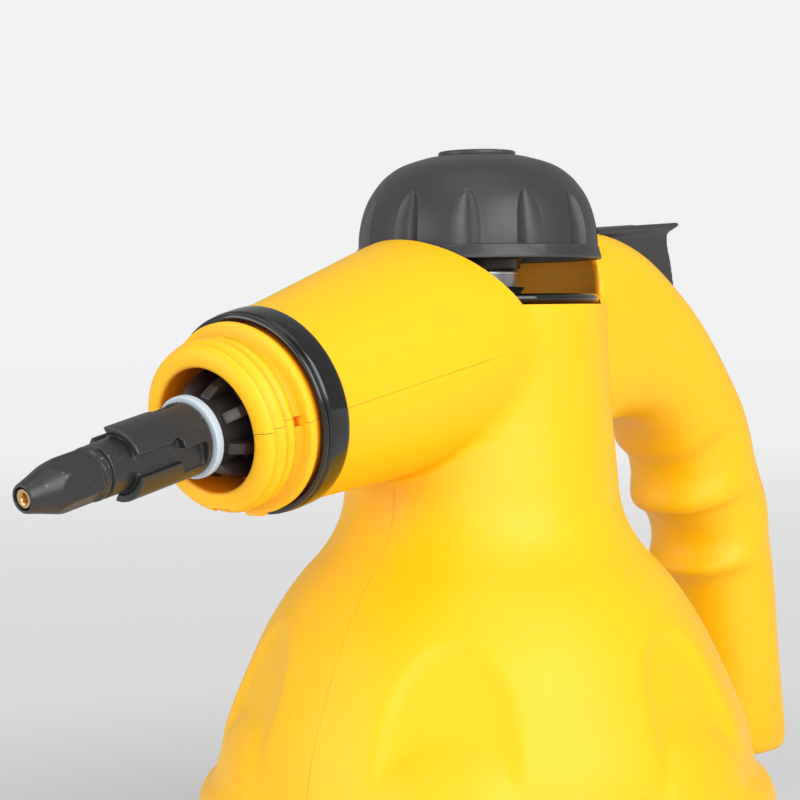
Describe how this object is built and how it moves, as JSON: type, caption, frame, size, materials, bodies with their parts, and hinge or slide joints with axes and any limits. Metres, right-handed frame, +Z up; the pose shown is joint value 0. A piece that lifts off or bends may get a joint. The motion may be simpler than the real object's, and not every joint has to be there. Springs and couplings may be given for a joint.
{
  "type": "handheld steam cleaner",
  "caption": "Handheld steam cleaner: bell-shaped housing round a boiler, screwed safety cap in a neck pocket, sloping barrel with jet nozzle, pistol grip with thumb trigger.",
  "frame": {"origin": "on the boiler's axis, on the flat face that the cleaner stands on", "axes": "+Z up along the boiler's axis, -Y towards the nozzle, +Y towards the grip, X across the seam plane"},
  "size_m": [0.1456, 0.275, 0.2139],
  "materials": {
    "housing": "satin",
    "cover": "satin",
    "cap": "satin",
    "gloss_black": "gloss",
    "phenolic": "satin",
    "nylon": "satin",
    "pale_silicone": "satin",
    "white_silicone": "satin",
    "rubber": "matte",
    "brass": "satin",
    "plated": "polished",
    "boiler": "as cast",
    "screws": "zinc plated"
  },
  "bodies": {
    "housing": {"housing_left": "housing", "housing_right": "housing", "housing_screw_1": "screws", "housing_screw_2": "screws", "housing_screw_3": "screws", "housing_screw_4": "screws", "base_cover": "cover", "base_screw_1": "screws", "base_screw_2": "screws", "base_screw_3": "screws", "collar_upper": "housing", "collar_lower": "housing", "barrel_band": "gloss_black", "nozzle_socket": "phenolic", "nozzle_body": "nylon", "nozzle_o_ring": "pale_silicone", "nozzle_jet": "brass", "boiler_upper": "boiler", "boiler_lower": "boiler", "boiler_gasket": "rubber", "boiler_screw_1": "screws", "boiler_screw_2": "screws", "boiler_screw_3": "screws", "heating_element": "screws", "thermostat": "nylon", "thermal_fuse": "plated", "terminal_block": "white_silicone", "filler_neck": "plated", "shelf_plate": "gloss_black", "neck_gasket": "rubber", "trigger_pin": "screws", "valve_body": "brass", "valve_spring": "screws", "steam_hose_in": "white_silicone", "steam_hose_out": "white_silicone", "cord_inlet": "rubber"},
    "seal": {"cap_seal": "rubber"},
    "plug": {"cap_plug": "phenolic", "cap_retainer": "screws", "cap_spring": "screws", "relief_spring": "screws"},
    "cap": {"cap_shell": "cap", "cap_disc": "cap"},
    "relief": {"relief_poppet": "brass"},
    "trigger": {"trigger_lever": "cap"},
    "plunger": {"valve_plunger": "screws"}
  },
  "joints": [
    {"name": "cap_lift", "type": "slide", "parent": "housing", "child": "seal", "axis": [0, 0, 1], "range_m": [0, 0.012]},
    {"name": "cap_turn", "type": "hinge", "parent": "seal", "child": "plug", "pos_m": [0, 0, 0.18], "axis": [0, 0, 1], "range_deg": [0, 720]},
    {"name": "cap_press", "type": "slide", "parent": "plug", "child": "cap", "axis": [0, 0, -1], "range_m": [0, 0.003], "stiffness_N_per_m": 1500, "springref_m": -0.002, "deforming": ["cap_spring"]},
    {"name": "relief_lift", "type": "slide", "parent": "plug", "child": "relief", "axis": [0, 0, 1], "range_m": [0, 0.0012], "stiffness_N_per_m": 900, "springref_m": -0.004, "deforming": ["relief_spring"]},
    {"name": "trigger_press", "type": "hinge", "parent": "housing", "child": "trigger", "pos_m": [0, 0.045, 0.187], "axis": [-1, 0, 0], "range_deg": [0, 7]},
    {"name": "valve_push", "type": "slide", "parent": "housing", "child": "plunger", "axis": [0, 0, -1], "range_m": [0, 0.00155], "stiffness_N_per_m": 150, "springref_m": -0.003, "deforming": ["valve_spring"]}
  ],
  "couplings": [
    {"joint": "cap_turn", "follows": "cap_lift", "rad_per_m": 1047.2},
    {"joint": "trigger_press", "follows": "valve_push", "rad_per_m": 76.9}
  ]
}
